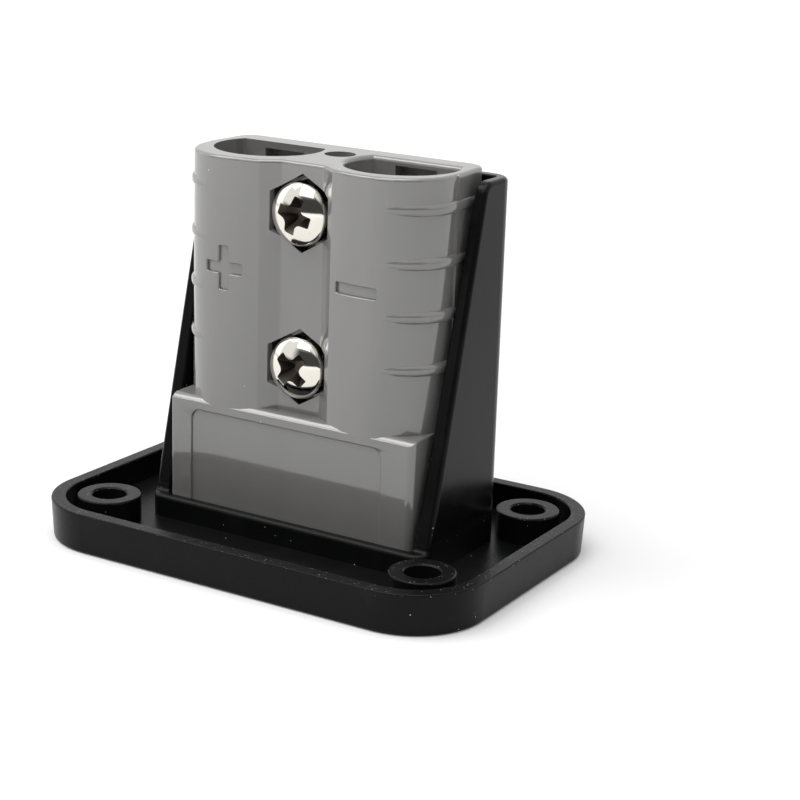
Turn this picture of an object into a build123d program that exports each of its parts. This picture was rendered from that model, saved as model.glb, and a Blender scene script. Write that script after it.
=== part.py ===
# Battery quick connect plug: a two-pole genderless power connector body, screwed upright into a
# flush panel bracket. The bracket's front plate lies face down, and the cable entries look up.
# Millimetres. Origin at the centre of the plate's front face, +X along the connector's width,
# +Y towards the bracket's back wall, +Z towards the cable end.

import math
import os

from build123d import *

# Front plate of the bracket
plate_length = 63.2
plate_width = 44.6
plate_corner = 10.0
plate_thickness = 1.85
plate_edge_round = 0.5
rim_height = 5.4
rim_wall = 1.9
rim_lean = 0.3  # how far the rim's outside draws in, from its top down to the front face
rim_edge_round = 0.2
mouth_chamfer = 0.4

# Bosses that take the panel screws
boss_spacing_x = 47.5
boss_spacing_y = 27.2
boss_diameter = 8.3
boss_hole = 4.5
boss_edge_round = 0.25
boss_hole_bevel = 0.2

# Sleeve of the bracket: collar, two cheeks and a back wall
collar_height = 4.85
collar_wall = 1.3
cheek_wall = 2.3
back_wall = 1.9
sleeve_below_rear = 1.2  # the housing's cable end stands out of the sleeve by this
sleeve_outer_round = 0.6
sleeve_inner_round = 0.25
sleeve_draft = 0.87  # degrees, the cheeks thin towards the cable end
sleeve_front_corner = 2.2
sleeve_back_corner = 3.0
sleeve_inner_corner = 0.8
cheek_setback = 1.5
cheek_slope = 13.8  # degrees from upright
cheek_top_round = 1.8
cheek_foot_round = 0.6
seat_clearance = 0.1  # housing to the collar's front and to the back wall
side_clearance = 0.45  # housing to the cheeks

# Connector housing
mating_face_z = 2.95
mating_axis_y = 0.75
housing_length = 47.65
housing_thickness = 16.5
body_overhang = 0.15  # the lobes are wider than the hood by this on each side
lobe_radius = 7.55
web_depth = 2.4
crease_reach = 5.6  # from the top of a lobe to the crease on its inner side
crease_rise = 1.6  # web to crease
crease_round = 0.8
flank_run = 2.2  # straight flank between crease and web, measured along X
flank_foot_round = 0.6
side_step = 0.2  # the back half stands out from the lobes by this on each side
side_draft = 4.0  # degrees, the back half narrows towards the back
body_back_corner = 2.4
rear_edge_round = 0.45

# Finger ribs on both flanks of the housing
rib_count = 4
rib_pitch = 6.6
rib_height = 1.7
rib_stand = 0.43
rib_fade = 0.15
rib_below_rear = 3.9
rib_edge_round = 0.75
rib_back_inset = 1.4

# Hood and tongue, the two halves of the genderless mating end
hood_width = 36.6
hood_length = 15.75
hood_wall = 2.0
hood_roof = 1.6
ledge_reach = 2.1  # the ledge under the lobes curves down over this, measured along Y
ledge_round = 4.1
ledge_nose_round = 0.3
ledge_side_round = 0.2
mating_clearance = 0.25
lead_in = 0.6

# Bare panel on the front of the hood
panel_width = 28.8
panel_offset_x = -0.65
panel_top_gap = 1.65
panel_corner = 1.4
panel_depth = 0.25

# Cable entries
pole_inset = 1.05  # a pole's axis lies nearer the middle than its lobe's, by this
entry_radius = 7.1
entry_centre_y = 2.0
entry_back_y = 5.43
entry_depth = 2.4
entry_edge_round = 0.6
funnel_depth = 2.0
bore_radius = 5.3
bore_floor_clearance = 0.5  # below the contact's neck
core_hole_diameter = 4.0
core_hole_y = 3.3
core_hole_depth = 3.0

# Contacts
barrel_diameter = 8.6
barrel_bore = 6.6
barrel_length = 12.0
barrel_bore_depth = 10.5
barrel_below_rear = 7.6
neck_length = 4.5
blade_width = 9.6
blade_thickness = 2.2
blade_tip_gap = 0.9
blade_tip_chamfer = 0.7
slot_clearance = 0.2

# Leaf springs
spring_width = 5.5
spring_thickness = 0.5
spring_below_rear = 9.6
spring_bend_z = 27.0
spring_crest_z = 15.5
spring_tip_rise = 2.0
spring_bend_radius = 3.0
spring_clearance = 0.05
groove_side_clearance = 0.25
groove_depth = 1.7
groove_below_rear = 0.9
tongue_back_wall = 1.45

# Screws through the web, with their washers and nuts
screw_rise = 21.75  # mating face to the lower screw
screw_below_rear = 6.3  # rear face to the upper screw
screw_diameter = 4.0
screw_length = 20.0
screw_hole = 4.4
head_diameter = 8.0
head_height = 2.9
head_dome = 6.5  # radius of the domed top
head_edge_round = 0.9
pocket_across_flats = 8.6
pocket_depth = 2.0
head_washer_diameter = 8.0
head_washer_thickness = 0.5
spring_washer_diameter = 7.6
spring_washer_thickness = 0.9
spring_washer_gap = 1.0
back_washer_diameter = 9.0
back_washer_thickness = 0.8
nut_across_flats = 7.0
nut_height = 3.2
nut_chamfer = 0.35
thread_clearance = 0.03
washer_clearance = 0.15

# How far a cut starts outside the face that it opens
overshoot = 1.0

# Places that follow from the sizes above
front_y = mating_axis_y - housing_thickness / 2
back_y = mating_axis_y + housing_thickness / 2
web_y = front_y + web_depth
body_half = hood_width / 2 + body_overhang
lobe_x = body_half - lobe_radius
lobe_y = front_y + lobe_radius
rear_z = mating_face_z + housing_length
sleeve_top = rear_z - sleeve_below_rear
hood_top_z = mating_face_z + hood_length
roof_z = hood_top_z - hood_roof
tongue_z = mating_face_z + hood_roof + mating_clearance
tongue_half = hood_width / 2 - hood_wall - mating_clearance
tongue_back_y = back_y - hood_wall - mating_clearance
tongue_face_y = mating_axis_y + slot_clearance
sleeve_in_x = hood_width / 2 + side_clearance
sleeve_out_x = sleeve_in_x + cheek_wall
sleeve_in_front_y = front_y - seat_clearance
sleeve_in_back_y = back_y + seat_clearance
collar_y = sleeve_in_front_y - collar_wall
wall_back_y = sleeve_in_back_y + back_wall
blade_back_y = mating_axis_y + blade_thickness
groove_back_y = entry_back_y + groove_depth
tongue_groove_y = tongue_back_y - tongue_back_wall
pocket_floor_y = web_y + pocket_depth
head_seat_y = pocket_floor_y - head_washer_thickness - spring_washer_thickness
lower_screw_z = mating_face_z + screw_rise
upper_screw_z = rear_z - screw_below_rear
barrel_top_z = rear_z - barrel_below_rear
barrel_z = barrel_top_z - barrel_length
neck_z = barrel_z - neck_length
bore_floor_z = neck_z - bore_floor_clearance
spring_top_z = rear_z - spring_below_rear
pole_x = lobe_x - pole_inset


def block(x0, x1, y0, y1, z0, z1):
    """A box between two corners."""
    return Pos((x0 + x1) / 2, (y0 + y1) / 2, (z0 + z1) / 2) * Box(x1 - x0, y1 - y0, z1 - z0)


def along_y(sketch, y0, y1):
    """A sketch drawn in X and Z, carried from y0 to y1."""
    plane = Plane((0, y0, 0), x_dir=(1, 0, 0), z_dir=(0, -1, 0))
    return extrude(plane * sketch, amount=-(y1 - y0))


def screw_axis(z):
    """Places a shape made along +Z so that it points along +Y at one of the screws."""
    return Pos(0, 0, z) * Rot(-90, 0, 0)


def ring(diameter, hole, thickness):
    return extrude(Circle(diameter / 2) - Circle(hole / 2), amount=thickness)


# Bracket

def plate():
    """Front plate with its raised rim, a shallow tray that leans in towards the front face."""
    top = Pos(0, 0, rim_height) * RectangleRounded(plate_length, plate_width, plate_corner)
    foot = RectangleRounded(
        plate_length - 2 * rim_lean, plate_width - 2 * rim_lean, plate_corner - rim_lean
    )
    tray = loft([foot, top])
    tray = fillet(tray.faces().sort_by(Axis.Z)[0].edges(), plate_edge_round)
    hollow = RectangleRounded(
        plate_length - 2 * rim_wall, plate_width - 2 * rim_wall, plate_corner - rim_wall
    )
    tray -= Pos(0, 0, plate_thickness) * extrude(hollow, amount=rim_height)
    return fillet(tray.faces().sort_by(Axis.Z)[-1].edges(), rim_edge_round)


def bosses():
    boss = extrude(Circle(boss_diameter / 2), amount=rim_height)
    boss = fillet(boss.edges().sort_by(Axis.Z)[-1], boss_edge_round)
    return [place * boss for place in GridLocations(boss_spacing_x, boss_spacing_y, 2, 2)]


def boss_holes():
    """Screw holes, each with a small bevel at the panel's side."""
    radius = boss_hole / 2
    hole = extrude(Circle(radius), amount=rim_height)
    mouth = Cone(radius, radius + boss_hole_bevel, boss_hole_bevel)
    hole += Pos(0, 0, rim_height - boss_hole_bevel / 2) * mouth
    return [place * hole for place in GridLocations(boss_spacing_x, boss_spacing_y, 2, 2)]


def sleeve_blank():
    """Outside of the sleeve, before the connector's space is taken out of it."""
    middle_y = (collar_y + wall_back_y) / 2
    outline = Pos(0, middle_y) * Rectangle(2 * sleeve_out_x, wall_back_y - collar_y)
    corners = outline.vertices().group_by(Axis.Y)
    outline = fillet(corners[0], sleeve_front_corner)
    outline = fillet(outline.vertices().group_by(Axis.Y)[-1], sleeve_back_corner)
    return extrude(outline, amount=sleeve_top)


def sleeve_side():
    """Side view of the sleeve: low collar in front, cheeks that slope back to their full height."""
    foot_y = collar_y + cheek_setback
    head_y = foot_y + (sleeve_top - collar_height) * math.tan(math.radians(cheek_slope))
    front = collar_y - overshoot
    back = wall_back_y + overshoot
    points = [
        (front, 0), (front, collar_height), (foot_y, collar_height),
        (head_y, sleeve_top), (back, sleeve_top), (back, 0),
    ]
    side = Polygon(*points, align=None)
    nearest = side.vertices().sort_by_distance((head_y, sleeve_top))[0]
    side = fillet(nearest, cheek_top_round)
    foot = side.vertices().sort_by_distance((foot_y, collar_height))[0]
    side = fillet(foot, cheek_foot_round)
    return extrude(Plane.YZ * side, amount=sleeve_out_x, both=True)


def sleeve_space():
    """Space for the connector, wider at the cable end by the draft of the cheeks."""
    spread = sleeve_top * math.tan(math.radians(sleeve_draft))
    half = sleeve_in_x
    points = [(-half, 0), (half, 0), (half + spread, sleeve_top), (-half - spread, sleeve_top)]
    space = along_y(Polygon(*points, align=None), sleeve_in_front_y, sleeve_in_back_y)
    upright = [e for e in space.edges() if abs(e.tangent_at(0.5).Z) > 0.9]
    return fillet(upright, sleeve_inner_corner)


def rims(walls):
    """Edges where the faces that look up, level or sloping, meet the upright ones."""
    upward = [face for face in walls.faces() if face.normal_at().Z > 0.1]
    met = [edge for face in upward for edge in face.edges()]
    return [edge for edge in met if sum(edge.is_same(other) for other in met) == 1]


def sleeve():
    """Walls round the connector, well rounded along the outer rim and a little along the inner."""
    walls = sleeve_blank() & sleeve_side()
    walls = fillet(rims(walls), sleeve_outer_round)
    walls -= sleeve_space()
    middle_y = (collar_y + wall_back_y) / 2
    reach_x = sleeve_out_x - sleeve_outer_round
    reach_y = middle_y - collar_y - sleeve_outer_round
    inner = [
        edge for edge in rims(walls)
        if abs(edge.center().X) < reach_x and abs(edge.center().Y - middle_y) < reach_y
    ]
    return fillet(inner, sleeve_inner_round)


def panel_bracket():
    body = plate() + bosses() + sleeve()
    body -= sleeve_space()
    body -= boss_holes()
    mouth = body.faces().sort_by(Axis.Z)[0].inner_wires().sort_by(SortBy.LENGTH)[-1]
    body = chamfer(mouth.edges(), mouth_chamfer)
    bore = extrude(Circle(screw_hole / 2), amount=wall_back_y + overshoot)
    for z in (lower_screw_z, upper_screw_z):
        body -= screw_axis(z) * bore
    return body


# Housing

def body_outline():
    """Plan of the rear body. Two lobes in front, each with a crease above a straight flank that
    runs down to the flat web between them. The back half steps out a little from the lobes."""
    foot = (lobe_x - crease_reach - flank_run, web_y)
    crease = (lobe_x - crease_reach, web_y - crease_rise)
    step_x = body_half + side_step
    corner = (step_x - narrowing(back_y), back_y)
    with BuildSketch() as half:
        with BuildLine():
            Polyline((0, back_y), (0, web_y), foot, crease)
            TangentArc((lobe_x, front_y), crease, tangent=(-1, 0))
            CenterArc((lobe_x, lobe_y), lobe_radius, 270, 90)
            Line((body_half, lobe_y), (body_half, mating_axis_y))
            Polyline((body_half, mating_axis_y), (step_x, mating_axis_y), corner, (0, back_y))
        make_face()
        for point, radius in (
            (foot, flank_foot_round), (crease, crease_round), (corner, body_back_corner)
        ):
            fillet(half.vertices().sort_by_distance(point)[0], radius)
    return half.sketch + mirror(half.sketch, about=Plane.YZ)


def narrowing(y):
    """How far the draft has drawn in each side of the back half at y."""
    return (y - mating_axis_y) * math.tan(math.radians(side_draft))


def finger_rib(z):
    """A rib that stands out of both flanks and fades out on the round fronts of the lobes."""
    radius = lobe_radius - rib_fade
    half = body_half + rib_stand
    end_y = back_y - rib_back_inset
    end_x = half - narrowing(end_y)
    points = [
        (-half, lobe_y), (half, lobe_y), (half, mating_axis_y),
        (end_x, end_y), (-end_x, end_y), (-half, mating_axis_y),
    ]
    shape = Polygon(*points, align=None)
    for side in (-1, 1):
        shape += Pos(side * (half - radius), lobe_y) * Circle(radius)
    rib = Pos(0, 0, z) * extrude(shape, amount=rib_height / 2, both=True)
    level = rib.edges().filter_by(lambda e: abs(e.tangent_at(0.5).Z) < 0.01)
    return fillet(level, rib_edge_round)


def rear_body():
    outline = body_outline()
    body = Pos(0, 0, hood_top_z) * extrude(outline, amount=rear_z - hood_top_z)
    body = fillet(body.faces().sort_by(Axis.Z)[-1].edges(), rear_edge_round)
    half = hood_width / 2
    apron = Pos(0, 0, hood_top_z - ledge_reach) * extrude(outline, amount=ledge_reach)
    body += apron & block(-half, half, front_y, mating_axis_y, 0, hood_top_z)
    for i in range(rib_count):
        body += finger_rib(rear_z - rib_below_rear - i * rib_pitch)
    return body


def hood():
    """Front half of the mating end. Its ledge, under the lobes, curves down to the front face."""
    level = (front_y + ledge_reach, hood_top_z)
    nose = (front_y, hood_top_z - ledge_round + math.sqrt(ledge_round**2 - ledge_reach**2))
    with BuildSketch() as side:
        with BuildLine():
            Line((mating_axis_y, mating_face_z), (mating_axis_y, hood_top_z))
            Line((mating_axis_y, hood_top_z), level)
            TangentArc(level, nose, tangent=(-1, 0))
            Line(nose, (front_y, mating_face_z))
            Line((front_y, mating_face_z), (mating_axis_y, mating_face_z))
        make_face()
        fillet(side.vertices().sort_by_distance(nose)[0], ledge_nose_round)
    half = hood_width / 2
    shell = extrude(Plane.YZ * side.sketch, amount=half, both=True)
    sides = [
        e for e in shell.edges()
        if abs(abs(e.center().X) - half) < 0.01 and e.center().Z > mating_face_z + overshoot
        and e.center().Y < mating_axis_y - overshoot
    ]
    return fillet(sides, ledge_side_round)


def hood_space():
    """Room in the hood for the other half's tongue."""
    half = hood_width / 2 - hood_wall
    foot_z = mating_face_z - overshoot
    return block(-half, half, front_y + hood_wall, tongue_face_y, foot_z, roof_z)


def tongue():
    """Back half of the mating end, which carries the blades."""
    body = block(-tongue_half, tongue_half, tongue_face_y, tongue_back_y, tongue_z, hood_top_z)
    tip = body.faces().sort_by(Axis.Z)[0]
    return chamfer(tip.edges(), lead_in)


def panel_recess():
    top = hood_top_z - panel_top_gap
    height = top - mating_face_z
    shape = Rectangle(panel_width, height + panel_corner)
    shape = fillet(shape.vertices().group_by(Axis.Y)[-1], panel_corner)
    shape = Pos(panel_offset_x, top - (height + panel_corner) / 2) * shape
    return along_y(shape, front_y - overshoot, front_y + panel_depth)


def entry_section(radius, centre_y):
    """D-shaped section of a cable entry: a circle with a flat towards the back wall."""
    reach = 2 * radius
    flat = Pos(0, entry_back_y - reach) * Rectangle(2 * reach, 2 * reach)
    return (Pos(0, centre_y) * Circle(radius)) & flat


def pole_cavity():
    """Space for one contact: cable mouth, funnel, barrel bore, blade slot and spring groove."""
    mouth_z = rear_z - entry_depth
    funnel_z = mouth_z - funnel_depth
    wide = entry_section(entry_radius, entry_centre_y)
    narrow = entry_section(bore_radius, mating_axis_y)
    space = Pos(0, 0, mouth_z) * extrude(wide, amount=entry_depth + overshoot)
    space += loft([Pos(0, 0, funnel_z) * narrow, Pos(0, 0, mouth_z) * wide])
    space += Pos(0, 0, bore_floor_z) * extrude(narrow, amount=funnel_z - bore_floor_z)
    half = blade_width / 2 + slot_clearance
    space += block(
        -half, half, mating_axis_y - slot_clearance, blade_back_y + spring_clearance,
        tongue_z - overshoot, bore_floor_z,
    )
    groove = spring_width / 2 + groove_side_clearance
    groove_z = rear_z - groove_below_rear
    space += block(-groove, groove, mating_axis_y, groove_back_y, hood_top_z, groove_z)
    space += block(-groove, groove, mating_axis_y, tongue_groove_y, tongue_z + lead_in, hood_top_z)
    return space


def hex_pocket(z):
    corner = pocket_across_flats / math.sqrt(3)
    shape = Pos(0, z) * RegularPolygon(corner, 6, rotation=30)
    return along_y(shape, front_y - overshoot, pocket_floor_y)


def connector_housing():
    body = rear_body() + hood() + tongue()
    body -= hood_space()
    for side in (-1, 1):
        body -= Pos(side * pole_x, 0, 0) * pole_cavity()
    mouths = [wire.edges() for wire in body.faces().sort_by(Axis.Z)[-1].inner_wires()]
    for mouth in mouths:
        body = fillet(mouth, entry_edge_round)
    core = extrude(Circle(core_hole_diameter / 2), amount=-core_hole_depth)
    body -= Pos(0, core_hole_y, rear_z) * core
    bore = extrude(Circle(screw_hole / 2), amount=2 * housing_thickness, both=True)
    for z in (lower_screw_z, upper_screw_z):
        body -= hex_pocket(z)
        body -= screw_axis(z) * bore
    return body - panel_recess()


# Contacts and springs

def contact(x):
    """Wire barrel, neck and flat blade, with a bevelled tip."""
    tip_z = tongue_z + blade_tip_gap
    blade_y = mating_axis_y + blade_thickness / 2
    round_end = Pos(0, mating_axis_y, barrel_z) * Circle(barrel_diameter / 2)
    flat_end = Pos(0, blade_y, neck_z) * Rectangle(blade_width, blade_thickness)
    half = blade_width / 2
    blade = block(-half, half, mating_axis_y, blade_back_y, tip_z, neck_z)
    tip_edges = blade.faces().sort_by(Axis.Z)[0].edges().filter_by(Axis.X)
    blade = chamfer(tip_edges, blade_tip_chamfer)
    body = extrude(round_end, amount=barrel_length) + loft([flat_end, round_end]) + blade
    bore = Pos(0, mating_axis_y, barrel_top_z) * Circle(barrel_bore / 2)
    body -= extrude(bore, amount=-barrel_bore_depth)
    return Pos(x, 0, 0) * body


def leaf_spring(x):
    """Bent strip: flat in the groove at the top, its crest behind the blade, its tip in the tongue."""
    half = spring_thickness / 2
    back = groove_back_y - spring_clearance - half
    crest = blade_back_y + spring_clearance + half
    tip = tongue_groove_y - spring_clearance - half
    tip_z = tongue_z + spring_tip_rise
    points = [(back, spring_top_z), (back, spring_bend_z), (crest, spring_crest_z), (tip, tip_z)]
    path = FilletPolyline(*points, radius=spring_bend_radius)
    strip = trace(path, line_width=spring_thickness)
    return Pos(x, 0, 0) * extrude(Plane.YZ * strip, amount=spring_width / 2, both=True)


# Screws, washers and nuts

def pan_screw(z):
    """Pan head with a domed top, and a plain shank. It points along +Y."""
    head = extrude(Circle(head_diameter / 2), amount=-head_height)
    head &= Pos(0, 0, head_dome - head_height) * Sphere(head_dome)
    rim = head.faces().filter_by(GeomType.SPHERE)[0].edges().sort_by(Axis.Z)[-1]
    head = fillet(rim, head_edge_round)
    shank = extrude(Circle(screw_diameter / 2), amount=screw_length)
    tip = shank.faces().sort_by(Axis.Z)[-1]
    shank = chamfer(tip.edges(), nut_chamfer)
    return Pos(0, head_seat_y, 0) * screw_axis(z) * (head + shank)


def flat_washer(z, seat_y, diameter, thickness):
    hole = screw_diameter + 2 * washer_clearance
    return Pos(0, seat_y, 0) * screw_axis(z) * ring(diameter, hole, thickness)


def spring_washer(z):
    """Split ring that lies between the head and the flat washer."""
    hole = screw_diameter + 2 * washer_clearance
    split = block(
        0, spring_washer_diameter, -spring_washer_gap / 2, spring_washer_gap / 2,
        -overshoot, spring_washer_thickness + overshoot,
    )
    washer = ring(spring_washer_diameter, hole, spring_washer_thickness) - split
    return Pos(0, head_seat_y, 0) * screw_axis(z) * washer


def nut(z):
    """Hexagon nut with its corners turned off on both faces."""
    corner = nut_across_flats / math.sqrt(3)
    blank = extrude(RegularPolygon(corner, 6), amount=nut_height)
    turned = chamfer(Cylinder(corner, nut_height).edges().filter_by(GeomType.CIRCLE), nut_chamfer)
    blank &= Pos(0, 0, nut_height / 2) * turned
    blank -= extrude(Circle(screw_diameter / 2 + thread_clearance), amount=nut_height)
    return Pos(0, wall_back_y + back_washer_thickness, 0) * screw_axis(z) * blank


def all_parts():
    parts = {
        "panel_bracket": panel_bracket(),
        "connector_housing": connector_housing(),
        "positive_contact": contact(-pole_x),
        "negative_contact": contact(pole_x),
        "positive_spring": leaf_spring(-pole_x),
        "negative_spring": leaf_spring(pole_x),
    }
    washer_seat_y = pocket_floor_y - head_washer_thickness
    for name, z in (("upper", upper_screw_z), ("lower", lower_screw_z)):
        parts[name + "_screw"] = pan_screw(z)
        parts[name + "_spring_washer"] = spring_washer(z)
        parts[name + "_head_washer"] = flat_washer(
            z, washer_seat_y, head_washer_diameter, head_washer_thickness
        )
        parts[name + "_back_washer"] = flat_washer(
            z, wall_back_y, back_washer_diameter, back_washer_thickness
        )
        parts[name + "_nut"] = nut(z)
    return parts


os.makedirs("parts", exist_ok=True)
for node, shape in all_parts().items():
    export_step(shape, "parts/" + node + ".step")
    print(node, "volume", round(shape.volume, 1), "mm3")
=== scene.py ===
# Battery quick connect plug in its flush bracket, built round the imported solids: the marks, the panel
# lip, the ledge nose and the hood corners of the housing, the recess and thread of the screws, the
# finishes, the light and the camera. The dictionaries of the housing, the screws and the finishes give
# lengths in millimetres, those of the studio and the camera in metres where no note says otherwise.
import math

import bpy
import bmesh
import numpy as np
from mathutils import Matrix


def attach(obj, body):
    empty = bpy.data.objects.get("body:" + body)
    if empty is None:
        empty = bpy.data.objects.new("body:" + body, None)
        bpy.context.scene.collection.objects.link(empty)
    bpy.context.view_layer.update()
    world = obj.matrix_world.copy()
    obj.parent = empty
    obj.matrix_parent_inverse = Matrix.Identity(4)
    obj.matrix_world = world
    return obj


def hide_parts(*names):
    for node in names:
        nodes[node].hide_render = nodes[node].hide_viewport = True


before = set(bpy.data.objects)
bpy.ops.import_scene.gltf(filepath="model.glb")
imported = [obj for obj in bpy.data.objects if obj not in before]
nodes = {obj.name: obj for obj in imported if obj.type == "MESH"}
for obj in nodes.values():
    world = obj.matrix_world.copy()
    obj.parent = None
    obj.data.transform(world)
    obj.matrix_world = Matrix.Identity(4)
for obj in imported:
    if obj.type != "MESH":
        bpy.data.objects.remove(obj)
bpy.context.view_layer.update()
mm = 0.001
print("frame loaded with", len(nodes), "nodes")


class Wire:  # one output of a node, so that sums on it read as sums
    def __init__(self, shade, socket):
        self.shade = shade
        self.socket = socket

    def maths(self, operation, *values):
        return self.shade.node("ShaderNodeMath", {"operation": operation}, dict(enumerate(values)))

    def __add__(self, other):
        return self.maths("ADD", self, other)

    def __sub__(self, other):
        return self.maths("SUBTRACT", self, other)

    def __rsub__(self, other):
        return self.maths("SUBTRACT", other, self)

    def __mul__(self, other):
        return self.maths("MULTIPLY", self, other)

    def __lt__(self, other):
        return self.maths("LESS_THAN", self, other)

    def __gt__(self, other):
        return self.maths("GREATER_THAN", self, other)

    __radd__ = __add__
    __rmul__ = __mul__


class Shade:  # a node tree, and the one method that adds any node to it
    def __init__(self, tree):
        self.tree = tree

    def feed(self, socket, value):
        if isinstance(value, Wire):
            self.tree.links.new(value.socket, socket)
        else:
            socket.default_value = value

    def node(self, kind, settings=None, inputs=None, output=0):
        made = self.tree.nodes.new(kind)
        for key, value in (settings or {}).items():
            setattr(made, key, value)
        for key, value in (inputs or {}).items():
            self.feed(made.inputs[key], value)
        return Wire(self, made.outputs[output])

    def vector(self, operation, values, output="Vector"):
        settings = {"operation": operation}
        return self.node("ShaderNodeVectorMath", settings, dict(enumerate(values)), output)

    def axes(self, vector):  # x, y and z of a vector
        return [self.node("ShaderNodeSeparateXYZ", None, {"Vector": vector}, axis) for axis in "XYZ"]

    def ramp(self, value, low, high):  # 0 at low, 1 at high, soft at both ends
        return self.node("ShaderNodeMapRange", {"interpolation_type": "SMOOTHSTEP"},
                         {"Value": value, "From Min": low, "From Max": high}, "Result")


class Finish(Shade):  # a material built up from its Principled shader, with sizes in mm
    def __init__(self, name, fixed):
        self.material = bpy.data.materials.new(name)
        self.material.use_nodes = True
        super().__init__(self.material.node_tree)
        self.shader = self.tree.nodes["Principled BSDF"]
        for socket, value in fixed.items():
            self.shader.inputs[socket].default_value = value
        self.place = self.node("ShaderNodeTexCoord", output="Object")

    def noise(self, size, detail=2.0, stretch=(1, 1, 1)):  # soft noise with lumps of that size
        spot = self.node("ShaderNodeMapping", None, {"Vector": self.place, "Scale": stretch})
        return self.node("ShaderNodeTexNoise", None,
                         {"Vector": spot, "Scale": 1 / (size * mm), "Detail": detail}, "Fac")

    def patches(self, size, detail, low, high, stretch=(1, 1, 1)):  # noise from low to high, as 0 to 1
        return self.ramp(self.noise(size, detail, stretch), low, high)

    def specks(self, spacing, size, share):  # round dots of dust, in that share of the cells
        cells = {"Vector": self.place, "Scale": 1 / (spacing * mm)}
        near = self.node("ShaderNodeTexVoronoi", None, cells, "Distance")
        tint = self.node("ShaderNodeTexVoronoi", None, cells, "Color")
        pick = self.node("ShaderNodeSeparateColor", None, {"Color": tint}, "Red")
        reach = self.node("ShaderNodeSeparateColor", None, {"Color": tint}, "Green")
        return (near < reach * (size / spacing)) * (pick < share)

    def blend(self, factor, first, second):  # from the first colour to the second by the factor
        mixed = self.node("ShaderNodeMix", {"data_type": "RGBA"}, None, 2)
        for at, value in ((0, factor), (6, first), (7, second)):
            self.feed(mixed.socket.node.inputs[at], value)
        return mixed

    def finish(self, colour, roughness, height=None, depth=0.0):
        self.feed(self.shader.inputs["Base Color"], colour)
        self.feed(self.shader.inputs["Roughness"], roughness)
        if height is not None:
            bump = {"Height": height, "Distance": depth * mm, "Strength": 1.0}
            normal = self.node("ShaderNodeBump", None, bump, "Normal")
            self.feed(self.shader.inputs["Normal"], normal)
        return self.material


def rgb(level, warmth=0.0):  # a grey, a little warm or cool
    return (level * (1 + warmth), level, level * (1 - warmth), 1)


screw = {  # here because two finishes paint shade where the screws stand
    "upperZ": 44.3, "upperTurn": -18.0, "lowerZ": 24.7, "lowerTurn": -43.0, "seatY": -4.5,
    "headRadius": 4.0, "headHeight": 2.9, "dome": 6.5, "edgeRound": 0.9,
    "sideShare": 0.8, "underShare": 0.7, "neckShare": 1.02,
    "domeRows": 24, "edgeRows": 10, "sideRows": 4, "headColumns": 160,
    # height, reach and half width of each ring of the cross
    "recess": [(3.6, 2.95, 0.86), (2.75, 2.6, 0.76), (2.3, 2.3, 0.68),
               (1.0, 1.45, 0.5), (0.5, 0.9, 0.42)],
    "wingCorner": 0.16, "innerCorner": 0.8,
    "shankRadius": 1.96, "length": 20.0, "plainLength": 1.4, "tipBevel": 0.4,
    "threadDepth": 0.32, "pitch": 0.7, "shankRows": 240, "shankColumns": 48,
    "poleRadius": 0.001, "mergeGap": 0.003, "sharpAngle": 40,
}


def fromScrews(skin, head):  # squared distance to the nearer screw's axis, and the depth along it
    x, y, z = skin.axes(skin.place)
    upper, lower = (z - head[level] * mm for level in ("upperZ", "lowerZ"))
    return x * x + upper.maths("MINIMUM", upper * upper, lower * lower), y


def pocketShadeMask(skin, look, head):  # 1 in the pockets round the two screws, where the grey is darkened as painted shade
    around, y = fromScrews(skin, head)
    return (around < (look["pocketReach"] * mm) ** 2) * (y > look["pocketY"] * mm)


def recessShadeMask(skin, look, head):  # 1 in the driver recess, darkened as painted shade: well under the dome, close to the axis
    around, y = fromScrews(skin, head)
    back = y - (head["seatY"] + head["dome"] - head["headHeight"]) * mm
    under = around + back * back < ((head["dome"] - look["recessShadeDepth"]) * mm) ** 2
    return (around < (look["recessShadeReach"] * mm) ** 2) * under * (y < head["seatY"] * mm)


# In the finishes below, patches give their size, detail, lowest and highest noise and perhaps a
# stretch, dust gives the spacing and size of its specks, and a cover is how far one colour hides another.
greyPlastic = {
    "level": 0.20, "warmth": 0.018, "mottle": 0.03, "flow": (6.0, 3, 0.3, 0.7, (1, 1, 0.3)),
    "index": 1.55, "gloss": 0.95, "roughness": 0.05, "cloud": (2.0, 4, 0.4, 0.8), "cloudRough": 0.05,
    "grainSize": 0.6, "grain": 0.0006, "dust": 0.06,
    "pale": (1.4, 0.12), "paleLevel": 0.75, "paleCover": 0.8, "paleRough": 0.4,
    "dark": (2.1, 0.12), "darkLevel": 0.03, "darkCover": 0.7,
    # the pocket values paint shade: the grey darkened to near black in the pockets round the screws
    "pocketShadeLevel": 0.035, "pocketShadeCover": 0.9, "pocketReach": 5.05, "pocketY": -4.95,
}


def makeGreyPlastic(look, head):
    skin = Finish("greyPlastic", {"IOR": look["index"], "Specular IOR Level": look["gloss"]})
    low, high = (rgb(look["level"] * (1 + way * look["mottle"]), look["warmth"]) for way in (-1, 1))
    pale = skin.specks(*look["pale"], look["dust"])
    dark = skin.specks(*look["dark"], look["dust"])
    colour = skin.blend(skin.patches(*look["flow"]), low, high)
    colour = skin.blend(pale * look["paleCover"], colour, rgb(look["paleLevel"]))
    colour = skin.blend(dark * look["darkCover"], colour, rgb(look["darkLevel"]))
    # painted shade: the pockets round the screws darkened to near black
    pocket = pocketShadeMask(skin, look, head) * look["pocketShadeCover"]
    colour = skin.blend(pocket, colour, rgb(look["pocketShadeLevel"]))
    cloud = skin.patches(*look["cloud"])
    rough = look["roughness"] + cloud * look["cloudRough"] + pale * look["paleRough"]
    return skin.finish(colour, rough, skin.noise(look["grainSize"]), look["grain"])


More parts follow.
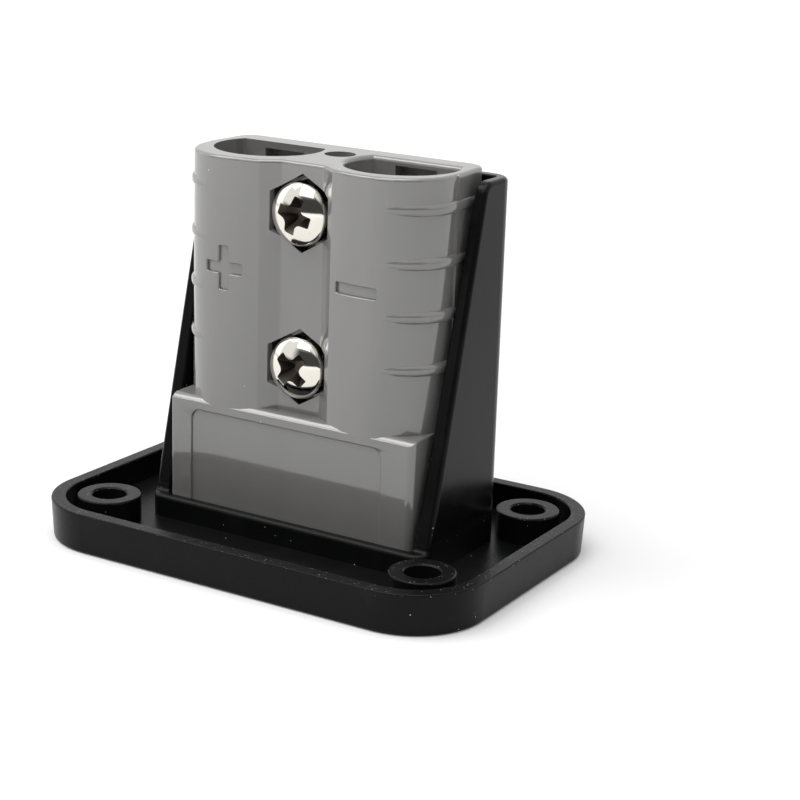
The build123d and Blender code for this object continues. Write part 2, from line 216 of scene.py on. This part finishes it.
blackPlastic = {
    "level": 0.0052, "warmth": -0.02, "index": 1.5, "gloss": 0.11, "roughness": 0.17,
    "haze": (5.0, 5, 0.45, 0.8), "hazeLevel": 0.014, "hazeCover": 0.3, "hazeRough": 0.06,
    "smoothAbove": 5.8, "smoothShare": 0.15, "texture": (0.26, 3), "grain": 0.022, "textureRough": 0.12,
    "dust": 0.16, "lint": (0.8, 0.085), "lintLevel": 0.55,
    # the specks along the rim are dust and also a painted highlight on the rim's edge
    "edgeDustAndGlint": 0.9, "fluffAndGlint": (0.35, 0.07), "fluffAndGlintLevel": 0.45, "fluffAndGlintCover": 0.7,
    "rimZ": 5.3, "rimFade": (0.05, 0.25),
}


def makeBlackPlastic(look):  # textured on the plate, smoother on the sleeve, dusty along the rim, where the pale specks also paint a highlight on the rim's edge
    skin = Finish("blackPlastic", {"IOR": look["index"], "Specular IOR Level": look["gloss"]})
    height = skin.axes(skin.place)[2]
    fromRim = height - look["rimZ"] * mm
    near, far = look["rimFade"]
    atRim = 1 - skin.ramp(fromRim.maths("ABSOLUTE", fromRim), near * mm, far * mm)
    lint = skin.specks(*look["lint"], look["dust"])
    # pale specks along the rim: dust, and a painted highlight on its edge
    fluffAndGlint = skin.specks(*look["fluffAndGlint"], atRim * look["edgeDustAndGlint"])
    haze = skin.patches(*look["haze"])
    colour = rgb(look["level"], look["warmth"])
    colour = skin.blend(haze * look["hazeCover"], colour, rgb(look["hazeLevel"]))
    colour = skin.blend(lint, colour, rgb(look["lintLevel"]))
    colour = skin.blend(fluffAndGlint * look["fluffAndGlintCover"], colour, rgb(look["fluffAndGlintLevel"]))
    texture = 1 - (height > look["smoothAbove"] * mm) * (1 - look["smoothShare"])
    rough = look["roughness"] + haze * look["hazeRough"] + texture * look["textureRough"]
    return skin.finish(colour, rough, skin.noise(*look["texture"]) * texture, look["grain"])


nickelPlate = {
    "colour": (0.76, 0.725, 0.66, 1), "roughness": 0.06, "cloud": (1.5, 4), "cloudRough": 0.04,
    "spots": (0.5, 3, 0.70, 0.78), "spotColour": (0.30, 0.26, 0.22, 1), "spotCover": 0.35,
    "spotRough": 0.2, "scratches": (0.35, 3), "scratch": 0.0010,
    # the recess values paint shade deep in the driver recess: darker brown and rougher
    "recessShade": (0.060, 0.046, 0.034, 1), "recessShadeCover": 0.92, "recessShadeRough": 0.42,
    "recessShadeDepth": 0.07, "recessShadeReach": 3.0,
}


def makeNickel(look, head):
    skin = Finish("nickelPlate", {"Metallic": 1.0})
    # painted shade deep in the driver recess of each screw
    recess = recessShadeMask(skin, look, head)
    spots = skin.patches(*look["spots"])
    colour = skin.blend(spots * look["spotCover"], look["colour"], look["spotColour"])
    colour = skin.blend(recess * look["recessShadeCover"], colour, look["recessShade"])
    rough = look["roughness"] + skin.noise(*look["cloud"]) * look["cloudRough"]
    rough = rough + spots * look["spotRough"] + recess * look["recessShadeRough"]
    return skin.finish(colour, rough, skin.noise(*look["scratches"]), look["scratch"])


springSteel = {"colour": (0.55, 0.55, 0.54, 1), "roughness": 0.28}
# black oxide steel for the washers under the heads, also kept dark as painted shade in the gap round the
# heads
darkSteelAndShade = {"colour": (0.10, 0.10, 0.10, 1), "roughness": 0.35}
rolling = {
    "lines": (0.12, 3, (1, 1, 0.08)), "lineRough": 0.15, "lineDepth": 0.002,
    "cloud": (4.0, 3), "cloudCover": 0.4, "cloudShare": 0.6,
}


def makeSteel(name, look, grain):  # the same rolled grain on either steel
    skin = Finish(name, {"Metallic": 1.0})
    lines = skin.noise(*grain["lines"])
    cloud = skin.noise(*grain["cloud"]) * grain["cloudCover"]
    tint = skin.blend(cloud, look["colour"], rgb(look["colour"][0] * grain["cloudShare"]))
    return skin.finish(tint, look["roughness"] + lines * grain["lineRough"], lines, grain["lineDepth"])


silverPlate = {
    "colour": (0.80, 0.77, 0.72, 1), "tarnish": (0.42, 0.34, 0.24, 1), "roughness": 0.25,
    "stain": (3.0, 5, 0.52, 0.75), "stainCover": 0.6, "stainRough": 0.2, "grainSize": 0.2, "grain": 0.002,
}


def makeSilver(look):
    skin = Finish("silverPlate", {"Metallic": 1.0})
    stain = skin.patches(*look["stain"])
    tint = skin.blend(stain * look["stainCover"], look["colour"], look["tarnish"])
    rough = look["roughness"] + stain * look["stainRough"]
    return skin.finish(tint, rough, skin.noise(look["grainSize"]), look["grain"])


grey = makeGreyPlastic(greyPlastic, screw)
black = makeBlackPlastic(blackPlastic)
nickel = makeNickel(nickelPlate, screw)
steel = makeSteel("springSteel", springSteel, rolling)
dark = makeSteel("darkSteelAndShade", darkSteelAndShade, rolling)
silver = makeSilver(silverPlate)
print("finishes made")


def makePiece(name, points, faces):
    mesh = bpy.data.meshes.new(name)
    mesh.from_pydata(points, [], faces)
    mesh.update()
    piece = bpy.data.objects.new(name, mesh)
    bpy.context.scene.collection.objects.link(piece)
    return piece


def paint(piece, finish):
    piece.data.materials.clear()
    piece.data.materials.append(finish)


def tidyMesh(mesh, gap):  # merges doubles and points the faces outwards
    work = bmesh.new()
    work.from_mesh(mesh)
    bmesh.ops.remove_doubles(work, verts=work.verts, dist=gap)
    bmesh.ops.recalc_face_normals(work, faces=work.faces)
    work.to_mesh(mesh)
    work.free()


def ringBody(name, rings, capped, gap=0.0):
    # closed body through rings of points: quads from each ring to the next, ended by flat caps or by
    # rings so small that they merge into a pole
    rows, columns = rings.shape[:2]
    row, column = np.meshgrid(np.arange(rows - 1), np.arange(columns), indexing="ij")
    after = (column + 1) % columns
    quads = np.stack([row * columns + column, row * columns + after,
                      (row + 1) * columns + after, (row + 1) * columns + column], axis=-1)
    faces = quads.reshape(-1, 4).tolist()
    if capped:
        last = (rows - 1) * columns
        faces += [list(range(columns))[::-1], list(range(last, last + columns))]
    piece = makePiece(name, (rings.reshape(-1, 3) * mm).tolist(), faces)
    tidyMesh(piece.data, gap * mm)
    return piece


def prism(name, outline, low, high):  # closed outline in x and y, carried along z from low to high
    rings = [np.c_[outline, np.full(len(outline), level)] for level in (low, high)]
    return ringBody(name, np.array(rings), True)


def bake(piece):  # turns the modifiers into mesh
    view = bpy.context.evaluated_depsgraph_get()
    made = bpy.data.meshes.new_from_object(piece.evaluated_get(view))
    piece.modifiers.clear()
    piece.data = made


def cut(piece, tool, operation):
    step = piece.modifiers.new("cut", "BOOLEAN")
    step.operation = operation
    step.solver = "EXACT"
    step.object = tool
    bake(piece)
    bpy.data.objects.remove(tool)


def smooth(piece, degrees):  # smooth faces, sharp where they meet at more than the angle
    piece.data.shade_smooth()
    piece.data.set_sharp_from_angle(angle=math.radians(degrees))
    flat = piece.modifiers.new("weights", "WEIGHTED_NORMAL")
    flat.mode = "FACE_AREA_WITH_ANGLE"
    flat.keep_sharp = True
    bake(piece)


def copyNode(name, node, gap):  # a merged copy of a solid's mesh, free of its stored normals
    piece = bpy.data.objects.new(name, nodes[node].data.copy())
    bpy.context.scene.collection.objects.link(piece)
    stored = piece.data.attributes.get("custom_normal")
    if stored:
        piece.data.attributes.remove(stored)
    tidyMesh(piece.data, gap * mm)
    return piece


def stand(piece, node):
    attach(piece, "root")
    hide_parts(node)


housing = {
    "lobeX": 10.9, "lobeY": 0.05, "lobeRadius": 7.55, "webY": -5.1,
    "creaseX": 5.3, "creaseY": -6.7, "footX": 3.1, "frontY": -7.5, "clearY": -10.0,
    "plusX": -10.19, "plusZ": 36.4, "plusWidth": 5.37, "plusHeight": 5.6, "plusBar": 1.36,
    "minusX": 9.27, "minusZ": 36.3, "minusWidth": 6.0, "minusBar": 1.32,
    "markDepth": 0.4, "markCorner": 0.22, "outlineStep": 0.25,
    # each lip: level of a ring behind the front, and how far it flares past the outline
    "markLip": [(-1.5, 0.22), (0.0, 0.2), (0.03, 0.12), (0.08, 0.06), (0.16, 0.015), (1.4, 0.0)],
    "panelX": (-15.05, 13.75), "panelZ": (-3.0, 17.05), "panelCorner": 1.4, "panelDepth": 0.2,
    "panelLip": [(-1.5, 0.16), (0.0, 0.14), (0.03, 0.07), (0.08, 0.02), (0.14, -0.02), (1.4, -0.03)],
    "ledgeX": 18.3, "ledgeZ": 18.7, "ledgeFootZ": 17.3, "ledgeBackY": -4.2, "ledgeRound": 1.15,
    # each end: distance of a section from the ledge's end, and how far it draws in
    "ledgeEnds": [(0.0, 0.24), (0.04, 0.12), (0.12, 0.04), (0.26, 0.0)],
    "hoodCorners": [(-1, 0.35), (1, 0.95)],  # side and radius of each
    "hoodFootZ": 1.0, "margin": 1.0, "floorColumns": 60, "ledgeSteps": 12, "hoodSteps": 10,
    "mergeGap": 0.0005, "sharpAngle": 28,
}


def frontOfBody(x, look):
    # y of the front, alike left and right: outside a lobe's top a circle round its axis, inwards from
    # the top a parabola to the crease, then a straight flank down to the flat web
    across = np.abs(x)
    reach = np.clip(across - look["lobeX"], 0, look["lobeRadius"])
    outer = look["lobeY"] - np.sqrt(look["lobeRadius"] ** 2 - reach ** 2)
    top = look["lobeY"] - look["lobeRadius"]
    run = look["lobeX"] - look["creaseX"]
    inner = top + (look["creaseY"] - top) * (np.clip(look["lobeX"] - across, 0, run) / run) ** 2
    slope = (look["webY"] - look["creaseY"]) / (look["creaseX"] - look["footX"])
    flank = np.minimum(look["creaseY"] + (look["creaseX"] - across) * slope, look["webY"])
    return np.where(across > look["lobeX"], outer, np.where(across > look["creaseX"], inner, flank))


def flatFront(x, look):  # y of the hood's flat front
    return np.full_like(x, look["frontY"])


def oblong(x0, x1, z0, z1):  # its four corners
    return [(x0, z0), (x1, z0), (x1, z1), (x0, z1)]


def roundedOutline(corners, radius, steps=6):
    # each square corner turned by a quarter circle: its centre lies a radius along both sides, and the
    # point steps back from it by the cosine of the turn along one side and the sine along the other
    corners = np.array(corners, float)
    radius = np.broadcast_to(radius, len(corners))[:, None]
    before = np.roll(corners, 1, axis=0) - corners
    after = np.roll(corners, -1, axis=0) - corners
    before /= np.linalg.norm(before, axis=1, keepdims=True)
    after /= np.linalg.norm(after, axis=1, keepdims=True)
    centre = corners + (before + after) * radius
    turn = np.linspace(0, math.pi / 2, steps)[:, None, None]
    arc = centre - after * radius * np.cos(turn) - before * radius * np.sin(turn)
    return arc.transpose(1, 0, 2).reshape(-1, 2)


def evenOutline(outline, step):  # each side of the outline split into equal parts of a step or less
    following = np.roll(outline, -1, axis=0)
    counts = np.maximum(np.ceil(np.linalg.norm(following - outline, axis=1) / step), 1).astype(int)
    start = np.repeat(outline, counts, axis=0)
    end = np.repeat(following, counts, axis=0)
    part = np.arange(counts.sum()) - np.repeat(np.cumsum(counts) - counts, counts)
    return start + (end - start) * (part / np.repeat(counts, counts))[:, None]


def recessTool(corners, corner, front, depth, lip, look):
    # rings of the outline, each moved out across it by its flare and back from the front by its level,
    # then cut off on a floor that follows the front at the recess's depth
    outline = evenOutline(roundedOutline(corners, corner), look["outlineStep"])
    along = np.roll(outline, -1, axis=0) - np.roll(outline, 1, axis=0)
    outward = np.stack([along[:, 1], -along[:, 0]], axis=-1)
    outward /= np.linalg.norm(outward, axis=1, keepdims=True)
    level, flare = (np.array(column)[:, None] for column in zip(*lip))
    x = outline[:, 0] + outward[:, 0] * flare
    z = outline[:, 1] + outward[:, 1] * flare
    y = front(outline[:, 0], look) + level
    tool = ringBody("recessTool", np.stack([x, y, z], axis=-1), True)
    low, high = outline.min(axis=0) - look["margin"], outline.max(axis=0) + look["margin"]
    x = np.linspace(low[0], high[0], look["floorColumns"])
    floor = np.stack([x, front(x, look) + depth], axis=-1)
    layer = np.concatenate([floor, [[x[-1], look["clearY"]], [x[0], look["clearY"]]]])
    cut(tool, prism("recessLayer", layer, low[1], high[1]), "INTERSECT")
    return tool


def ledge(look):
    # fuller nose of the ledge: a section that is level on top and falls to the front by a quarter
    # circle, carried along x and drawn in near both ends
    turn = np.linspace(0, math.pi / 2, look["ledgeSteps"])
    r, front, back = look["ledgeRound"], look["frontY"], look["ledgeBackY"]
    top, foot = look["ledgeZ"], look["ledgeFootZ"]
    y = np.concatenate([[back], front + r - r * np.sin(turn), [front, back]])
    z = np.concatenate([[top], top - r + r * np.cos(turn), [foot, foot]])
    away, inset = (np.array(column) for column in zip(*look["ledgeEnds"]))
    x = np.concatenate([away - look["ledgeX"], (look["ledgeX"] - away)[::-1]])[:, None]
    inset = np.concatenate([inset, inset[::-1]])[:, None]
    y = np.where(y < back, np.minimum(y + inset, back), y)
    z = np.where(z > foot, z - inset, z)
    return ringBody("ledge", np.stack(np.broadcast_arrays(x, y, z), axis=-1), True)


def hoodCorner(side, r, look):  # an upright square corner of the hood less a quarter circle of radius r
    x, y, out = look["ledgeX"], look["frontY"], look["margin"]
    turn = np.linspace(0, math.pi / 2, look["hoodSteps"])
    arc = np.stack([x - r + r * np.cos(turn), y + r - r * np.sin(turn)], axis=-1)
    outline = np.concatenate([arc, [[x - r, y - out], [x + out, y - out], [x + out, y + r]]])
    return prism("hoodCorner", outline * (side, 1), look["hoodFootZ"], look["ledgeZ"] + out)


def makeHousing(look):
    body = copyNode("greyHousing", "connector_housing", look["mergeGap"])
    cut(body, ledge(look), "UNION")
    for side, r in look["hoodCorners"]:
        cut(body, hoodCorner(side, r, look), "DIFFERENCE")
    x, z, r = look["plusX"], look["plusZ"], look["plusBar"] / 2
    w, h = look["plusWidth"] / 2, look["plusHeight"] / 2
    plus = [(-w, -r), (-r, -r), (-r, -h), (r, -h), (r, -r), (w, -r),
            (w, r), (r, r), (r, h), (-r, h), (-r, r), (-w, r)]
    plus = [(x + a, z + b) for a, b in plus]
    x, z = look["minusX"], look["minusZ"]
    w, r = look["minusWidth"] / 2, look["minusBar"] / 2
    mark = look["markCorner"], frontOfBody, look["markDepth"], look["markLip"]
    panel = look["panelCorner"], flatFront, look["panelDepth"], look["panelLip"]
    cut(body, recessTool(plus, *mark, look), "DIFFERENCE")
    cut(body, recessTool(oblong(x - w, x + w, z - r, z + r), *mark, look), "DIFFERENCE")
    cut(body, recessTool(oblong(*look["panelX"], *look["panelZ"]), *panel, look), "DIFFERENCE")
    smooth(body, look["sharpAngle"])
    paint(body, grey)
    stand(body, "connector_housing")


makeHousing(housing)
print("housing made")


def headProfile(look):
    # radius and height from the middle of the dome outwards: the dome is a circle round a point on the
    # axis, the edge an arc that touches it and the side, and a flat underside runs back to the axis
    turnRadius, fall = look["edgeRound"], look["headHeight"] - look["dome"]
    middle = look["headRadius"] - turnRadius
    centre = fall + math.sqrt((look["dome"] - turnRadius) ** 2 - middle ** 2)
    lean = math.asin(middle / (look["dome"] - turnRadius))
    top = np.linspace(look["poleRadius"], look["dome"] * math.sin(lean), look["domeRows"])
    turn = np.linspace(lean, math.pi / 2, look["edgeRows"])[1:]
    side = np.linspace(centre * look["sideShare"], 0, look["sideRows"])
    under = [look["headRadius"] * look["underShare"], look["shankRadius"] * look["neckShare"],
             look["poleRadius"]]
    dome = fall + np.sqrt(look["dome"] ** 2 - top ** 2)
    radius = [top, middle + turnRadius * np.sin(turn), np.full(len(side), look["headRadius"]), under]
    height = [dome, centre + turnRadius * np.cos(turn), side, np.zeros(len(under))]
    return np.concatenate(radius), np.concatenate(height)


def recessCross(look):
    # rings of a cross, each at its height: one arm's three corners turned four times, rounded at the
    # wing's end and more in the angle between two arms
    rings = []
    for height, reach, half in look["recess"]:
        quarter = np.array([(half, half), (reach, half), (reach, -half)])
        turns = [np.array([[math.cos(a), math.sin(a)], [-math.sin(a), math.cos(a)]])
                 for a in (0, -math.pi / 2, -math.pi, -1.5 * math.pi)]
        corners = np.concatenate([quarter @ turn for turn in turns])
        inner = look["innerCorner"] * reach / look["recess"][0][1]
        radii = np.tile([inner, look["wingCorner"], look["wingCorner"]], len(turns))
        outline = roundedOutline(corners, radii)
        rings.append(np.c_[outline, np.full(len(outline), height)])
    return np.array(rings)


def roundBody(name, radius, y, z, columns, look):
    # rings round the screw's axis: radius times the cosine and sine of the angle, at each y
    angle = np.linspace(0, 2 * math.pi, columns, endpoint=False)
    rings = np.broadcast_arrays(radius * np.cos(angle), y[:, None], radius * np.sin(angle) + z)
    return ringBody(name, np.stack(rings, axis=-1), False, look["mergeGap"])


def makeHead(z, turn, look):  # the profile carried round the axis, less the cross at its own turn
    radius, height = headProfile(look)
    columns = look["headColumns"]
    piece = roundBody("head", radius[:, None], look["seatY"] - height, z, columns, look)
    rings = recessCross(look)
    spin = math.radians(turn)
    x = rings[..., 0] * math.cos(spin) - rings[..., 1] * math.sin(spin)
    up = rings[..., 0] * math.sin(spin) + rings[..., 1] * math.cos(spin)
    tool = np.stack([x, look["seatY"] - rings[..., 2], up + z], axis=-1)
    cut(piece, ringBody("cross", tool, True), "DIFFERENCE")
    return piece


def makeShank(z, look):
    # radius by depth and angle: the shank's own, less a groove that rises and falls in straight lines
    # once for each pitch and turn, less a bevel at the tip
    columns = look["shankColumns"]
    down = np.linspace(0, look["length"], look["shankRows"])[:, None]
    phase = (down / look["pitch"] + np.arange(columns) / columns) % 1.0
    groove = look["threadDepth"] * (1 - np.abs(2 * phase - 1)) * (down > look["plainLength"])
    bevel = np.clip(down - look["length"] + look["tipBevel"], 0, None)
    radius = look["shankRadius"] - groove - bevel
    radius[0] = radius[-1] = look["poleRadius"]
    return roundBody("shank", radius, look["seatY"] + down[:, 0], z, columns, look)


def makeScrew(name, node, z, turn, look):
    piece, shank = makeHead(z, turn, look), makeShank(z, look)
    work = bmesh.new()
    work.from_mesh(piece.data)
    work.from_mesh(shank.data)
    work.to_mesh(piece.data)
    work.free()
    bpy.data.objects.remove(shank)
    piece.name = piece.data.name = name
    smooth(piece, look["sharpAngle"])
    paint(piece, nickel)
    stand(piece, node)


makeScrew("upperScrew", "upper_screw", screw["upperZ"], screw["upperTurn"], screw)
makeScrew("lowerScrew", "lower_screw", screw["lowerZ"], screw["lowerTurn"], screw)
print("screws made")


plain = {  # the finish of each solid that keeps its own shape
    "panel_bracket": black,
    "positive_contact": silver, "negative_contact": silver,
    "positive_spring": steel, "negative_spring": steel,
    # the washers under the heads are dark steel, partly painted shade in the pockets' gap
    "upper_spring_washer": dark, "lower_spring_washer": dark,
    "upper_head_washer": dark, "lower_head_washer": dark,
    "upper_back_washer": nickel, "lower_back_washer": nickel,
    "upper_nut": nickel, "lower_nut": nickel,
}
for node, finish in plain.items():
    slots = nodes[node].data.materials
    for i in range(len(slots)):
        slots[i] = finish
print("solids finished")


studio = {
    "floorSize": 3.0, "floorSink": 0.00001, "floorLevel": 0.77, "floorRough": 0.9,
    "floorGlow": 0.14, "farFloor": (0.10, 0.60), "farGlow": 0.60,
    "fibre": 40, "fibreLevel": 1.01,  # size in mm, and the lighter level as a share
    "tentLevel": 0.60, "tentSeen": 1.0, "openingLevel": 0.06,
    "opening": (0.45, -0.893, 0.0), "openingEdge": (0.48, 0.80), "openingTop": (0.45, 0.75),
    "frontEdge": (-0.1, 0.2), "frontTop": (0.08, 0.20),
    "aim": (0, 0, 0.025),
}
lamps = {  # place, width and height, power
    "topLamp": ((0.0, -0.10, 0.9), (0.58, 0.58), 3.6),
    "frontLamp": ((-0.05, -0.50, 0.60), (0.45, 0.40), 1.25),
    "leftLamp": ((-0.44, -0.22, 0.68), (0.40, 0.40), 2.0),
    "sideLamp": ((-0.7, -0.1, 0.3), (0.5, 0.5), 0.4),
}


def skyRays(shade):  # 1 for what the camera sees, itself or in metal and glass
    direct, glossy, through = (shade.node("ShaderNodeLightPath", output=name)
                               for name in ("Is Camera Ray", "Is Glossy Ray", "Is Transmission Ray"))
    return direct.maths("MAXIMUM", direct.maths("MAXIMUM", direct, glossy), through)


def makeFloor(look):  # pale paper, a hair under the plate so that the two faces don't coincide
    size, z = look["floorSize"], -look["floorSink"]
    corners = [(-size, -size, z), (size, -size, z), (size, size, z), (-size, size, z)]
    floor = makePiece("floorPaper", corners, [(0, 1, 2, 3)])
    paper = Finish("floorPaper", {"Specular IOR Level": 0.0, "Emission Strength": 1.0})
    far = paper.ramp(paper.vector("LENGTH", [paper.place], "Value"), *look["farFloor"])
    glow = paper.blend(far, rgb(look["floorGlow"]), rgb(look["farGlow"]))
    glow = paper.blend(skyRays(paper), rgb(0.0), glow)
    paper.feed(paper.shader.inputs["Emission Color"], glow)
    light = rgb(look["floorLevel"] * look["fibreLevel"])
    tone = paper.blend(paper.noise(look["fibre"]), rgb(look["floorLevel"]), light)
    paint(floor, paper.finish(tone, look["floorRough"]))


def makeWorld(look):  # a white light tent with a dark opening on the camera's side
    world = bpy.data.worlds.new("studioWorld")
    bpy.context.scene.world = world
    world.use_nodes = True
    sky = Shade(world.node_tree)
    away = sky.node("ShaderNodeTexCoord", output="Generated")
    flat = sky.vector("NORMALIZE", [sky.vector("MULTIPLY", [away, (1, 1, 0)])])
    facing = sky.vector("DOT_PRODUCT", [flat, look["opening"]], "Value")
    height = sky.axes(away)[2]
    opening = sky.ramp(facing, *look["openingEdge"]) * (1 - sky.ramp(height, *look["openingTop"]))
    low = sky.ramp(facing, *look["frontEdge"]) * (1 - sky.ramp(height, *look["frontTop"]))
    opening = opening.maths("MAXIMUM", opening, low)
    opening = opening * (1 - sky.node("ShaderNodeLightPath", output="Is Camera Ray"))
    tent = look["tentLevel"] + skyRays(sky) * (look["tentSeen"] - look["tentLevel"])
    light = tent * (1 - opening * (1 - look["openingLevel"]))
    sky.feed(world.node_tree.nodes["Background"].inputs["Color"], (1, 1, 1, 1))
    sky.feed(world.node_tree.nodes["Background"].inputs["Strength"], light)


def stance(side, up, back, place):  # the matrix that turns a holder to those axes at that place
    rows = [[side[i], up[i], back[i], place[i]] for i in range(3)]
    return Matrix(rows + [[0, 0, 0, 1]])


def makeLamp(name, place, size, power, aim):
    lamp = bpy.data.lights.new(name, "AREA")
    lamp.shape = "RECTANGLE"
    lamp.size, lamp.size_y = size
    lamp.energy = power
    holder = bpy.data.objects.new(name, lamp)
    bpy.context.scene.collection.objects.link(holder)
    back = np.array(place) - aim
    back /= np.linalg.norm(back)
    side = np.cross((0, 0, 1), back)
    side /= np.linalg.norm(side)
    holder.matrix_world = stance(side, np.cross(back, side), back, place)


camera = {
    "place": (0.133856, -0.207305, 0.092764), "azimuth": 30.479, "pitch": 16.548, "roll": 1.926,
    "focal": 1998.874, "frame": 800,  # in pixels
    "sensor": 36.0,  # in mm
    "nearest": 0.01,
}


def makeCamera(look):
    data = bpy.data.cameras.new("photoCamera")
    data.sensor_width = look["sensor"]
    data.lens = look["sensor"] * look["focal"] / look["frame"]
    data.clip_start = look["nearest"]
    eye = bpy.data.objects.new("photoCamera", data)
    bpy.context.scene.collection.objects.link(eye)
    az, pitch, roll = (math.radians(look[k]) for k in ("azimuth", "pitch", "roll"))
    level = math.cos(pitch)
    ahead = np.array([-math.sin(az) * level, math.cos(az) * level, -math.sin(pitch)])
    side = np.array([math.cos(az), math.sin(az), 0.0])
    over = np.cross(side, ahead)
    right = side * math.cos(roll) + over * math.sin(roll)
    up = over * math.cos(roll) - side * math.sin(roll)
    eye.matrix_world = stance(right, up, -ahead, look["place"])
    bpy.context.scene.camera = eye


makeFloor(studio)
makeWorld(studio)
for name, (place, size, power) in lamps.items():
    makeLamp(name, place, size, power, studio["aim"])
makeCamera(camera)
bpy.context.scene.view_settings.view_transform = "Standard"
print("studio made")
